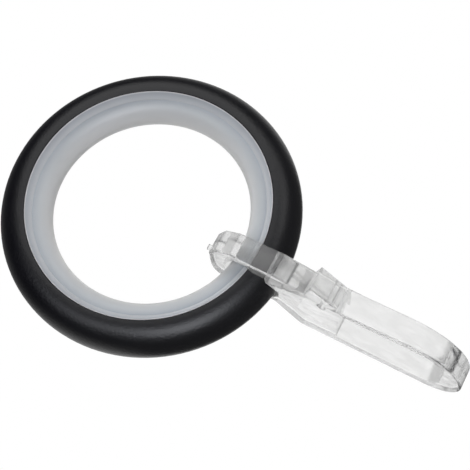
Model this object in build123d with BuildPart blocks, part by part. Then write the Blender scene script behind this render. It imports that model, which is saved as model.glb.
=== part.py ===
"""Curtain ring with a clip hook: a black metal ring, its glide liner and a clear one-piece hook.

Millimetres, +Z up, as the ring hangs on its rod: the origin is the ring's centre, the ring's axis
lies along Y, and the hook hangs at -Z with its springy front leg towards -Y.
"""
import math
import os

from build123d import *

os.makedirs("parts", exist_ok=True)

# Ring, measured outwards from the bore
bore_radius = 14.8            # narrowest point of the liner, where the rod runs
bulge_depth = 2.5             # from the liner's crest out to its crease
lip_depth = 0.9               # from the crease out to the metal's edge
mouth_inset = 0.55            # from the metal's edge out to the middle of the section
section_radius = 3.75         # the metal's round outside
metal_wall = 0.7
metal_edge_round = 0.12

# Glide liner
lip_height = 1.1              # from the rim down to the crease, along the ring's axis
liner_wall = 1.0
liner_gap = 0.05              # between the liner and the metal
snap_leg_wall = 0.8
snap_leg_end = 55.0           # degrees, from the section's outward direction

# Hook: the loop round the ring's section
hook_width = 3.6
hook_turn = 3.0               # degrees that the loose hook stands turned on the ring
loop_clearance = 0.15         # between the straps and the section, along the ring's axis
slack_inside = 0.9            # between the loop's end and the liner's crest
slack_outside = 0.45          # between the web and the outside of the ring
eye_facet = 55.0              # degrees that the eye's slanted faces lean to its flat ones
eye_nose_flat = 3.0           # where the eye's flat faces end towards the nose
front_strap = 1.95
back_strap = 1.5
flat_end = 2.6                # where the strap's flat top ends, down from the section's middle
nose_wall = 2.5
nose_edge = (1.2, 1.9)        # the nose's blunt edge, from and to these heights
nose_facet = (1.2, 2.4)       # from that edge to the corner between the nose's two facets
nose_shoulder = 3.8           # from the nose's edge to the start of the flat strap
nub_radius = 0.45
nub_length = 0.5
nub_offset = 0.8              # sideways from the hook's middle plane

# Hook: the head that latches the loop, and the web that it closes on
strap_fall = 1.8              # how far the strap slopes down from its flat top to the step
strap_slope = 5.15            # the length of that slope
head_rise = (1.1, 3.8)
head_length = 4.0
head_drop = 3.3               # how far the head's top slopes down to the seam
latch_gap = 0.12
web_top = 3.05                # the web's forward face at the ring
web_fall = 0.35               # how much lower that face is at the web's far end
tooth_place = 1.9             # from the head's corner to the middle of the snap tooth
tooth_neck = 0.9
tooth_barb = 1.5
tooth_depth = 1.6
tooth_point = 0.64            # from the tooth's tip back to its barb
tooth_catch = 0.32            # from the barb back to the neck
cheek_rise = 0.8              # how far a cheek stands out on each side of the web, beside the ring
cheek_end_rise = 0.25         # and at the far end of its crest
cheek_top = 4.4
cheek_crest = 3.4             # the height at which the cheeks stand out most
cheek_foot = -6.5             # where they have run out
cheek_back = -2.0             # their lower end beside the ring
cheek_entry = (-1.3, 1.8)     # along the strap, where they start and where they are full
cheek_end = (2.1, 3.8)        # past the eye, where they are full and where they have run out
cheek_end_top = 2.2

# Hook: the part that carries the curtain
hook_reach = 32.55            # from the section's middle down to the hook's end
front_end_radius = 9.9
back_end_radius = 4.8
leg_front = 4.6               # the front leg's forward face
front_leg = 1.6
back_leg = 2.1
slot_end_wall = 3.1
front_slot_radius = 5.3
back_slot_radius = 2.7
tip_overlap = 0.45            # how far the front leg's tip lies over the web
leg_dip = 0.2                 # shallow hollow along the front leg's outer face
leg_entry = 0.15              # how steeply that face leaves the seam
shoulder_start = 3.2          # where the back strap turns down, from the section's middle
shoulder_run = 4.2
shoulder_round = 2.0
bevel_length = 13.3           # the front leg's bevelled edge, from its tip
bevel_depth = 1.0
bevel_fade = 0.85             # how much shallower the bevel is at its far end
edge_round = 0.4

# Ring sizes that follow
mid_radius = bore_radius + bulge_depth + lip_depth + mouth_inset
mouth_radius = mid_radius - mouth_inset
crease_radius = bore_radius + bulge_depth
rim_half = math.sqrt(section_radius**2 - mouth_inset**2)
crease_half = rim_half - lip_height
channel_radius = section_radius - metal_wall

# Hook sizes that follow: x down from the section's middle, y forward of it
loop_half = section_radius + loop_clearance
loop_top = bore_radius - mid_radius - slack_inside
loop_foot = section_radius + slack_outside
eye_flat = loop_half * math.tan(math.radians(eye_facet / 2))
front_face = loop_half + front_strap
back_face = -loop_half - back_strap
nose_x = loop_top - nose_wall
step_foot = (flat_end + strap_slope, front_face - strap_fall)
head_corner = (step_foot[0] + head_rise[0], step_foot[1] + head_rise[1])
head_end = (head_corner[0] + head_length, head_corner[1] - head_drop)
tip_x = head_end[0] + latch_gap
web_end = tip_x + tip_overlap
front_bend = hook_reach - front_end_radius
back_bend = hook_reach - back_end_radius
bend_y = leg_front - front_end_radius
leg_back = bend_y - back_end_radius
slot_front = leg_front - front_leg
slot_back = leg_back + back_leg
slot_end = hook_reach - slot_end_wall

# The hook's own plane: x runs down the hook from the section's middle, y runs forward
turn = math.radians(hook_turn)
hook_plane = Plane(
    origin=(0, 0, -mid_radius),
    x_dir=(math.sin(turn), 0, -math.cos(turn)),
    z_dir=(-math.cos(turn), 0, -math.sin(turn)),
)


def section_point(radius, angle):
    """Point on a circle round the middle of the ring's section; angle 0 points outwards."""
    a = math.radians(angle)
    return (mid_radius + radius * math.cos(a), radius * math.sin(a))


def angle_at(radius, x):
    """Angle of the point of such a circle that lies x from the ring's axis."""
    return math.degrees(math.acos((x - mid_radius) / radius))


def eye_face(x, flat):
    """Height, at x, of the eye's slanted face that starts from its flat one at x = flat."""
    return loop_half - (x - flat) * math.tan(math.radians(eye_facet))


def web_face(x):
    """Height of the web's forward face, which falls slowly towards its far end."""
    return web_top - web_fall * (x - loop_foot) / (web_end - loop_foot)


def tooth_points(root, grow):
    """Outline of the head's barbed tooth, which starts root above the web's face and is grown all round."""
    x = head_corner[0] + tooth_place
    neck = tooth_neck / 2 + grow
    barb = tooth_barb / 2 + grow
    tip = web_face(x) - tooth_depth - grow
    point = tip + tooth_point
    return [(x - neck, web_face(x) + root), (x - neck, point + tooth_catch), (x - barb, point),
            (x - neck / 2, tip), (x + neck / 2, tip), (x + neck, point), (x + neck, web_face(x) + root)]


# Outer ring: a round tube, open towards the bore, turned about the ring's axis
with BuildPart() as outer_ring:
    with BuildSketch(Plane.XY) as metal_section:
        with Locations((mid_radius, 0)):
            Circle(section_radius)
            Circle(channel_radius, mode=Mode.SUBTRACT)
        with Locations((mouth_radius, 0)):
            Rectangle(2 * section_radius, 3 * section_radius,
                      align=(Align.MAX, Align.CENTER), mode=Mode.SUBTRACT)
        fillet(metal_section.vertices().group_by(Axis.X)[0], metal_edge_round)
    revolve(axis=Axis.Y)

# Glide liner: a bulging wall with two lips, and two snap legs inside the metal
seat_radius = mouth_radius - liner_gap
leg_outside = channel_radius - liner_gap
leg_inside = leg_outside - snap_leg_wall
with BuildPart() as glide_liner:
    with BuildSketch(Plane.XY) as liner_section:
        with BuildLine():
            crest = EllipticalCenterArc((crease_radius, 0), bulge_depth, crease_half,
                                        start_angle=180, arc_size=-90)
            lip = Line(crest @ 1, (seat_radius, rim_half - liner_gap))
            outer_foot = angle_at(leg_outside, seat_radius)
            inner_foot = angle_at(leg_inside, seat_radius)
            seat = Line(lip @ 1, section_point(leg_outside, outer_foot))
            leg = ThreePointArc(seat @ 1, section_point(leg_outside, (outer_foot + snap_leg_end) / 2),
                                section_point(leg_outside, snap_leg_end))
            toe = Line(leg @ 1, section_point(leg_inside, snap_leg_end))
            back = ThreePointArc(toe @ 1, section_point(leg_inside, (inner_foot + snap_leg_end) / 2),
                                 section_point(leg_inside, inner_foot))
            inner = EllipticalCenterArc((crease_radius, 0), bulge_depth - liner_wall,
                                        crease_half - liner_wall, start_angle=90, arc_size=90)
            Line(back @ 1, inner @ 0)
            Line(inner @ 1, crest @ 0)
        make_face()
        mirror(about=Plane.XZ)
    revolve(axis=Axis.Y)

# Cheeks: a low pyramid on each side of the web that steadies the hook beside the ring
cheek_start, cheek_full = cheek_entry
ramp_start, ramp_end = loop_foot + cheek_end[0], loop_foot + cheek_end[1]
side_at = hook_width / 2
crest_at = side_at + cheek_rise
end_crest = cheek_top - (cheek_top - cheek_crest) * cheek_end_rise / cheek_rise
ring_corner = (cheek_full, cheek_crest, crest_at)
end_corner = (ramp_start, end_crest, side_at + cheek_end_rise)
foot_corner = (ramp_start, cheek_foot, side_at)
cheek_faces = (
    (end_corner, ring_corner, foot_corner),
    ((cheek_start, cheek_top, side_at), ring_corner, end_corner),
    ((cheek_start, cheek_back, side_at), (cheek_full, cheek_back, crest_at), ring_corner),
    (end_corner, foot_corner, (ramp_end, cheek_end_top, side_at)),
)
with BuildPart() as cheeks:
    with BuildSketch(hook_plane):
        with BuildLine():
            Polyline((cheek_start, cheek_top), (ramp_end, cheek_top), (ramp_end, cheek_foot),
                     (ramp_start, cheek_foot), (eye_flat, cheek_back), (cheek_start, cheek_back), close=True)
        make_face()
    extrude(amount=crest_at, both=True)
    for side in (-1, 1):
        for corners in cheek_faces:
            a, b, c = (hook_plane.from_local_coords(Vector(x, y, side * w)) for x, y, w in corners)
            split(bisect_by=Plane(origin=a, x_dir=b - a, z_dir=(b - a).cross(c - a) * side), keep=Keep.BOTTOM)

# Clip hook: one planar profile, extruded and rounded, then opened, slit and bevelled
with BuildPart() as clip_hook:
    with BuildSketch(hook_plane) as outline:
        with BuildLine():
            top_line = Polyline(
                (nose_x, nose_edge[0]), (nose_x, nose_edge[1]),
                (nose_x + nose_facet[0], nose_edge[1] + nose_facet[1]),
                (nose_x + nose_shoulder, front_face), (flat_end, front_face), step_foot,
                head_corner, head_end)
            Spline(head_end, ((head_end[0] + front_bend) / 2, leg_front - leg_dip),
                   (front_bend, leg_front), tangents=[(1, -leg_entry), (1, 0)])
            CenterArc((front_bend, bend_y), front_end_radius, 90, -90)
            CenterArc((back_bend, bend_y), back_end_radius, 0, -90)
            base_line = Polyline((back_bend, leg_back), (shoulder_start + shoulder_run, leg_back),
                                 (shoulder_start, back_face), (loop_top, back_face))
            Spline(base_line @ 1, top_line @ 0, tangents=[(-1, 0), (0, 1)])
        make_face()
        shoulder = outline.vertices().sort_by_distance((shoulder_start + shoulder_run, leg_back))[0]
        fillet(shoulder, shoulder_round)
    extrude(amount=hook_width / 2, both=True)
    fillet(clip_hook.faces().filter_by(hook_plane).edges(), edge_round)
    add(cheeks.part)

    # The loop's eye, the hook's slot, and the slits where the loop and the hook open
    with BuildSketch(hook_plane) as openings:
        with BuildLine():
            Polyline((-eye_nose_flat, loop_half), (eye_flat, loop_half),
                     (loop_foot, eye_face(loop_foot, eye_flat)), (loop_foot, 0), (loop_top, 0),
                     (loop_top, eye_face(-loop_top, eye_nose_flat)), close=True)
        make_face()
        mirror(about=Plane.XZ)
        with BuildLine():
            Polyline((slot_end - front_slot_radius, slot_front), (web_end, slot_front),
                     (web_end, slot_back), (slot_end - back_slot_radius, slot_back))
            CenterArc((slot_end - back_slot_radius, slot_back + back_slot_radius),
                      back_slot_radius, -90, 90)
            Line((slot_end, slot_back + back_slot_radius), (slot_end, slot_front - front_slot_radius))
            CenterArc((slot_end - front_slot_radius, slot_front - front_slot_radius),
                      front_slot_radius, 0, 90)
        make_face()
        with BuildLine():
            slit_end = web_end + latch_gap
            Polyline((eye_flat, web_face(eye_flat)), (slit_end, web_face(slit_end)),
                     (slit_end, web_face(slit_end) + latch_gap),
                     (tip_x, web_face(tip_x) + latch_gap), (tip_x, 2 * leg_front),
                     (head_end[0], 2 * leg_front), (head_end[0], web_face(head_end[0]) + latch_gap),
                     (eye_flat, web_face(eye_flat) + latch_gap), close=True)
        make_face()
        with BuildLine():
            Polyline(tooth_points(latch_gap, latch_gap), close=True)
        make_face()
    extrude(amount=hook_width, both=True, mode=Mode.SUBTRACT)
    with BuildSketch(hook_plane):
        with BuildLine():
            Polyline(tooth_points(front_strap / 2, 0), close=True)
        make_face()
    extrude(amount=hook_width / 2, both=True)

    # A bevel along one edge of the front leg, deepest at its tip, which leads it into the tape
    tip_ridge = hook_plane.from_local_coords((head_end[0] + latch_gap / 2, leg_front, 0))
    tip_edge = hook_plane.from_local_coords(
        (head_end[0] + latch_gap / 2, leg_front - bevel_depth, hook_width / 2))
    far_edge = hook_plane.from_local_coords(
        (tip_x + bevel_length, leg_front - bevel_depth + bevel_fade, hook_width / 2))
    along = (far_edge - tip_edge).normalized()
    facing = along.cross(tip_ridge - tip_edge).normalized()
    with BuildSketch(Plane(origin=tip_ridge, x_dir=along, z_dir=facing)):
        Rectangle(bevel_length, 2 * hook_width, align=(Align.MIN, Align.CENTER))
    extrude(amount=leg_front, mode=Mode.SUBTRACT)

    # The moulding's gate nub on the nose
    nub_plane = Plane(hook_plane.from_local_coords((nose_x + nub_length, sum(nose_edge) / 2, nub_offset)),
                      z_dir=-hook_plane.x_dir)
    with BuildSketch(nub_plane):
        Circle(nub_radius)
    extrude(amount=2 * nub_length)

outer_ring.part.label = "outer_ring"
glide_liner.part.label = "glide_liner"
clip_hook.part.label = "clip_hook"
export_step(outer_ring.part, "parts/outer_ring.step")
export_step(glide_liner.part, "parts/glide_liner.step")
export_step(clip_hook.part, "parts/clip_hook.step")
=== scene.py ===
"""Looks of a curtain ring with a clip hook: satin black metal, milky nylon, clear plastic."""

import bpy
from mathutils import Matrix, Vector

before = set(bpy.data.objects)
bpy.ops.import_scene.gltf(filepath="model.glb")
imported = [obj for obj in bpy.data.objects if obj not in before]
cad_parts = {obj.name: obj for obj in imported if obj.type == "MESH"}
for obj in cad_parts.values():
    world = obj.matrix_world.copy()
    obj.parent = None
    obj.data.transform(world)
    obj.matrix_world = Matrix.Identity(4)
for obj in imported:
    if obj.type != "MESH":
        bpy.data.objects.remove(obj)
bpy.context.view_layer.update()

MM = 0.001

# Camera: where it stands, what it looks along and which way is up, in the ring's frame
camera_place = Vector((-37.685, -125.873, -45.78)) * MM
camera_look = Vector((0.29686, 0.92397, 0.24115))
camera_up = Vector((0.80198, -0.37832, 0.46228))
camera_lens = 71.29

# The liner's radii from the ring's axis, in millimetres
BORE = 14.8         # inside of its wall
CREASE = 17.2       # where the wall starts to turn into the lip
WALL_END = 17.3     # where the wall ends
LIP = 17.35         # inner edge of the flat lip
RIM = 18.0          # outer edge of the lip
RIM_HIGHLIGHT = 18.1     # painted highlight line beyond it, where the lip turns into the metal's mouth

# Heights between which the hook turns from its thin legs to its thick middle, and from that
# to its thin loop
LEGS_FULL, LEGS_TOP = -34.0 * MM, -30.0 * MM
LOOP_FOOT, LOOP_FULL = -18.0 * MM, -14.0 * MM

# Floor, in metres
FLOOR_HALF = 1.5
FLOOR_HEIGHT = -0.3

DAYLIGHT = (1.0, 1.0, 1.0)
COOL = (0.92, 0.94, 1.0)

# Lamps: name, place and diameter in millimetres, watts, colour, whether it shows as a highlight
LAMPS = (
    ("key", (-130.0, -352.0, -140.0), 260.0, 0.78, COOL, True),
    ("side", (-180.0, -348.0, 95.0), 240.0, 0.24, COOL, True),
    ("fill", (200.0, -320.0, 200.0), 420.0, 0.58, DAYLIGHT, True),
    ("low", (262.0, -340.0, -110.0), 240.0, 0.2, DAYLIGHT, True),
    ("wash", (270.0, -270.0, 220.0), 350.0, 0.9, DAYLIGHT, False),
    ("sky", (-120.0, -120.0, 500.0), 300.0, 1.4, DAYLIGHT, False),
)


def make_camera():
    """Camera at the photograph's viewing angle: its axes are look, up and their cross product."""
    back = -camera_look.normalized()
    right = camera_up.cross(back).normalized()
    up = back.cross(right)
    turned = Matrix((right, up, back)).transposed().to_4x4()
    data = bpy.data.cameras.new("view")
    data.lens = camera_lens
    data.sensor_width = 36.0
    data.clip_start = 0.005
    data.clip_end = 20.0
    camera = bpy.data.objects.new("view", data)
    camera.matrix_world = Matrix.Translation(camera_place) @ turned
    bpy.context.scene.collection.objects.link(camera)
    bpy.context.scene.camera = camera


class Nodes:
    """A node tree and short ways to add a node, set its plain inputs and wire the others."""

    def __init__(self, tree):
        self.tree = tree

    def put(self, socket, value):
        """Puts a value, or a link from another node's output, into the socket."""
        if isinstance(value, bpy.types.NodeSocket):
            self.tree.links.new(value, socket)
        else:
            socket.default_value = value

    def feed(self, node, name, value):
        """Puts a value or a link into the input of that name."""
        self.put(next(s for s in node.inputs if s.name == name and s.enabled), value)

    def add(self, kind, settings=None, **inputs):
        """New node: settings are its own properties, inputs are values or other nodes' outputs."""
        node = self.tree.nodes.new(kind)
        for name, value in (settings or {}).items():
            setattr(node, name, value)
        for name, value in inputs.items():
            self.feed(node, name.replace("_", " "), value)
        return node

    def math(self, operation, a, b=0.0):
        """One arithmetic step on two values."""
        node = self.tree.nodes.new("ShaderNodeMath")
        node.operation = operation
        for socket, value in zip(node.inputs, (a, b)):
            self.put(socket, value)
        return node.outputs[0]

    def span(self, value, low, high, out_low=0.0, out_high=1.0, smooth=True):
        """Value mapped from low..high to out_low..out_high, eased at both ends if smooth."""
        kind = "SMOOTHSTEP" if smooth else "LINEAR"
        node = self.add("ShaderNodeMapRange", {"interpolation_type": kind}, Value=value,
                        From_Min=low, From_Max=high, To_Min=out_low, To_Max=out_high)
        return node.outputs[0]

    def mix(self, share, a, b):
        """Colour a turning into b as share goes from 0 to 1: the node's inputs 0, 6 and 7."""
        node = self.tree.nodes.new("ShaderNodeMix")
        node.data_type = "RGBA"
        for place, value in ((0, share), (6, a), (7, b)):
            self.put(node.inputs[place], value)
        return node.outputs[2]


def new_group(name, inputs, outputs):
    """Empty shader node group with named value inputs and outputs, and its node helper."""
    group = bpy.data.node_groups.new(name, "ShaderNodeTree")
    kind = "NodeSocketFloat"
    for socket, default in inputs.items():
        given = group.interface.new_socket(socket, in_out="INPUT", socket_type=kind)
        given.default_value = default
    for socket in outputs:
        group.interface.new_socket(socket, in_out="OUTPUT", socket_type=kind)
    nodes = Nodes(group)
    return group, nodes, nodes.add("NodeGroupInput"), nodes.add("NodeGroupOutput")


def place_group():
    """Ring Place: how far a point lies from the ring's axis, the root of x*x + z*z, in mm."""
    group, n, _, out = new_group("Ring Place", {}, ("Radius",))
    place = n.add("ShaderNodeSeparateXYZ", Vector=n.add("ShaderNodeTexCoord").outputs["Object"])
    x, _, z = place.outputs
    across = n.math("SQRT", n.math("ADD", n.math("POWER", x, 2.0), n.math("POWER", z, 2.0)))
    n.feed(out, "Radius", n.math("MULTIPLY", across, 1 / MM))
    return group


def grain_group():
    """Fine Grain: noise of a size in mm as a height, and a wider noise as a roughness."""
    wide_share = 0.06
    group, n, given, out = new_group(
        "Fine Grain", {"Size": 0.4, "Roughness": 0.4, "Spread": 0.05}, ("Height", "Roughness"))
    place = n.add("ShaderNodeTexCoord").outputs["Object"]
    scale = n.math("DIVIDE", 1 / MM, given.outputs["Size"])
    wide_scale = n.math("MULTIPLY", scale, wide_share)
    fine = n.add("ShaderNodeTexNoise", Vector=place, Scale=scale, Detail=3.0, Roughness=0.5)
    wide = n.add("ShaderNodeTexNoise", Vector=place, Scale=wide_scale, Detail=2.0)
    n.feed(out, "Height", fine.outputs[0])
    middle = n.math("SUBTRACT", wide.outputs[0], 0.5)
    off = n.math("MULTIPLY", n.math("MULTIPLY", middle, given.outputs["Spread"]), 2.0)
    n.feed(out, "Roughness", n.math("ADD", off, given.outputs["Roughness"]))
    return group


GROUPS = {"place": place_group(), "grain": grain_group()}


def place_node(nodes, key, **inputs):
    """The named group as a node in a material, with the values it has there."""
    return nodes.add("ShaderNodeGroup", {"node_tree": GROUPS[key]}, **inputs)


def new_material(name, **values):
    """Principled material with its plain values set, with its node helper and its shader."""
    material = bpy.data.materials.new(name)
    material.use_nodes = True
    shader = material.node_tree.nodes["Principled BSDF"]
    nodes = Nodes(material.node_tree)
    for socket, value in values.items():
        nodes.feed(shader, socket.replace("_", " "), value)
    return material, nodes, shader


def add_skin(nodes, shader, grain, height, strength, depth):
    """Roughness from the grain, and a bump of the given height, strength and depth in mm."""
    nodes.feed(shader, "Roughness", grain.outputs["Roughness"])
    bump = nodes.add("ShaderNodeBump", Strength=strength, Distance=depth * MM, Height=height)
    nodes.feed(shader, "Normal", bump.outputs[0])


def satin_black():
    """Black stove enamel on the metal ring: satin, with a faint orange peel."""
    hollow, crest = (0.001, 0.001, 0.002, 1), (0.002, 0.002, 0.0035, 1)
    material, n, shader = new_material("satin black enamel", IOR=1.5, Specular_IOR_Level=0.5)
    grain = place_node(n, "grain", Size=0.35, Roughness=0.35, Spread=0.04)
    height = grain.outputs["Height"]
    n.feed(shader, "Base Color", n.mix(height, hollow, crest))
    add_skin(n, shader, grain, height, strength=1.0, depth=0.038)
    return material


def milky_nylon():
    """Natural nylon of the liner: light goes a little way in; painted shade darkens the wall
    toward the crease and the lip toward the metal, and a painted highlight lightens the rim's
    edge.
    """
    bore, crease_shade = (0.48, 0.48, 0.476, 1), (0.243, 0.265, 0.287, 1)
    lip_inside, lip_shade = (0.40, 0.41, 0.425, 1), (0.305, 0.322, 0.345, 1)
    rim_highlight = (0.53, 0.52, 0.535, 1)
    material, n, shader = new_material(
        "milky nylon", IOR=1.53, Subsurface_Weight=0.5, Subsurface_Radius=(1.0, 1.05, 1.15),
        Subsurface_Scale=0.8 * MM, Specular_IOR_Level=0.5)
    radius = place_node(n, "place").outputs["Radius"]
    grain = place_node(n, "grain", Size=0.5, Roughness=0.38, Spread=0.05)
    # Painted shade: the wall's colour darkens and turns bluish from the bore toward the crease
    wall = n.mix(n.span(radius, BORE, WALL_END, smooth=False), bore, crease_shade)
    # Painted shade: the lip darkens toward its outer edge, next to the black metal
    lip = n.mix(n.span(radius, LIP, RIM), lip_inside, lip_shade)
    # Painted highlight: a light line at the rim's outer edge
    edge = n.mix(n.span(radius, RIM, RIM_HIGHLIGHT), lip, rim_highlight)
    n.feed(shader, "Base Color", n.mix(n.span(radius, CREASE, LIP), wall, edge))
    add_skin(n, shader, grain, grain.outputs["Height"], strength=0.2, depth=0.01)
    return material


def clear_plastic():
    """Clear moulded plastic of the hook: cloudy streaks, and a wavy skin from the mould."""
    streak_size, streak_stretch = 0.9 * MM, 0.25
    wave_size, grain_share = 2.2 * MM, 0.1
    thin_cloud, streak_cloud = 0.6, (-0.1, 0.6)
    streak_noise = (0.35, 0.65)
    # The slanted colours are painted shade for darker outlines
    clear_faced, clear_edge_shade = (0.98, 0.98, 0.975, 1), (0.92, 0.92, 0.92, 1)
    dull_faced, dull_edge_shade = (0.83, 0.83, 0.825, 1), (0.56, 0.56, 0.56, 1)
    material, n, shader = new_material(
        "clear plastic", IOR=1.46, Transmission_Weight=0.95, Specular_IOR_Level=0.5)
    grain = place_node(n, "grain", Size=0.9, Roughness=0.16, Spread=0.05)
    place = n.add("ShaderNodeTexCoord").outputs["Object"]

    # The thin legs and loop look as dense as the thick head, and streaks run along the hook
    drop = n.add("ShaderNodeSeparateXYZ", Vector=place).outputs["Z"]
    legs = n.span(drop, LEGS_FULL, LEGS_TOP, 1.0, 0.0)
    loop = n.span(drop, LOOP_FOOT, LOOP_FULL)
    thin = n.math("MULTIPLY", n.math("MAXIMUM", legs, loop), thin_cloud)
    stretched = n.add("ShaderNodeMapping", Vector=place, Scale=(1, 1, streak_stretch))
    streaks = n.add("ShaderNodeTexNoise", Vector=stretched.outputs[0], Scale=1 / streak_size,
                    Detail=2.0)
    cloudy = n.math("ADD", thin, n.span(streaks.outputs[0], *streak_noise, *streak_cloud))

    # Painted shade: the base colour turns greyer where the skin slants away, drawing darker
    # outlines
    facing = n.add("ShaderNodeLayerWeight", Blend=0.5).outputs["Facing"]
    edge_shade = n.math("POWER", facing, 2.0)
    clear = n.mix(edge_shade, clear_faced, clear_edge_shade)
    dull = n.mix(edge_shade, dull_faced, dull_edge_shade)
    n.feed(shader, "Base Color", n.mix(cloudy, clear, dull))
    haze = n.add("ShaderNodeVolumeAbsorption", Color=(0.5, 0.51, 0.51, 1), Density=14.0)
    n.feed(material.node_tree.nodes["Material Output"], "Volume", haze.outputs[0])

    flow = n.add("ShaderNodeTexNoise", Vector=place, Scale=1 / wave_size, Detail=1.0)
    fine = n.math("MULTIPLY", grain.outputs["Height"], grain_share)
    waves = n.math("ADD", flow.outputs[0], fine)
    add_skin(n, shader, grain, waves, strength=0.8, depth=0.05)
    return material


FINISHES = {
    "outer_ring": satin_black(),
    "glide_liner": milky_nylon(),
    "clip_hook": clear_plastic(),
}


def finish_nodes():
    """Each solid of the ring gets its finish."""
    for name, material in FINISHES.items():
        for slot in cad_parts[name].material_slots:
            slot.material = material


def seen_directly(nodes, mirrored=1.0, through=1.0):
    """1 for the camera's rays, the given share in reflections and through the clear plastic."""
    path = nodes.add("ShaderNodeLightPath")
    glossy = nodes.math("MULTIPLY", path.outputs["Is Glossy Ray"], mirrored)
    passed = nodes.math("MULTIPLY", path.outputs["Is Transmission Ray"], through)
    either = nodes.math("MAXIMUM", glossy, passed)
    return nodes.math("MAXIMUM", path.outputs["Is Camera Ray"], either)


def make_surroundings():
    """White surroundings, mirrored dimmer from the front, from overhead and from underneath.

    away is 1 straight behind the object and -1 straight in front, rise is 1 overhead.
    """
    front_mirrored, steep_mirrored, steep_through = 0.07, 0.25, 0.7
    front_light, back_light = 0.12, 1.1
    world = bpy.data.worlds.new("studio")
    bpy.context.scene.world = world
    world.use_nodes = True
    n = Nodes(world.node_tree)
    background = world.node_tree.nodes["Background"]
    n.feed(background, "Color", (1, 1, 1, 1))
    aim = n.add("ShaderNodeTexCoord").outputs["Generated"]
    _, away, rise = n.add("ShaderNodeSeparateXYZ", Vector=aim).outputs
    steep = n.math("ABSOLUTE", rise)
    level = n.span(away, -0.2, 0.8, front_mirrored, 1.0)
    mirrored = n.math("MULTIPLY", level, n.span(steep, 0.2, 0.7, 1.0, steep_mirrored))
    seen = seen_directly(n, mirrored, n.span(steep, 0.5, 1.0, 1.0, steep_through))
    unseen = n.math("SUBTRACT", 1.0, n.math("CEIL", seen))
    light = n.math("MULTIPLY", unseen, n.span(away, -0.3, 0.5, front_light, back_light))
    n.feed(background, "Strength", n.math("ADD", seen, light))


def make_floor():
    """Pale floor well below the hook, which keeps the shadow and is mirrored dimmer."""
    pale, pale_mirrored = (0.7, 0.7, 0.7, 1), (0.1, 0.1, 0.1, 1)
    glow, glow_mirrored = 0.6, 0.1
    corners = [(FLOOR_HALF * x, FLOOR_HALF * y, FLOOR_HEIGHT)
               for x, y in ((-1, -1), (1, -1), (1, 1), (-1, 1))]
    mesh = bpy.data.meshes.new("floor")
    mesh.from_pydata(corners, [], [(0, 1, 2, 3)])
    floor = bpy.data.objects.new("floor", mesh)
    bpy.context.scene.collection.objects.link(floor)
    material, n, shader = new_material(
        "white floor", Roughness=0.9, Specular_IOR_Level=0.0, Emission_Color=(1, 1, 1, 1))
    mirrored = n.add("ShaderNodeLightPath").outputs["Is Glossy Ray"]
    n.feed(shader, "Base Color", n.mix(mirrored, pale, pale_mirrored))
    shown = n.math("MULTIPLY", seen_directly(n, glow_mirrored), glow)
    n.feed(shader, "Emission Strength", shown)
    mesh.materials.append(material)


def make_lamps():
    """Soft round lamps that face the ring's centre, and show in the picture only as highlights."""
    for name, place, size, power, colour, mirrored in LAMPS:
        data = bpy.data.lights.new(name, "AREA")
        data.shape = "DISK"
        data.size = size * MM
        data.energy = power
        data.color = colour
        lamp = bpy.data.objects.new(name, data)
        spot = Vector(place) * MM
        turned = spot.to_track_quat("Z", "Y").to_matrix().to_4x4()
        lamp.matrix_world = Matrix.Translation(spot) @ turned
        lamp.visible_camera = False
        lamp.visible_transmission = False
        lamp.visible_glossy = mirrored
        bpy.context.scene.collection.objects.link(lamp)


make_camera()
finish_nodes()
make_surroundings()
make_floor()
make_lamps()
bpy.context.scene.view_settings.view_transform = "Standard"
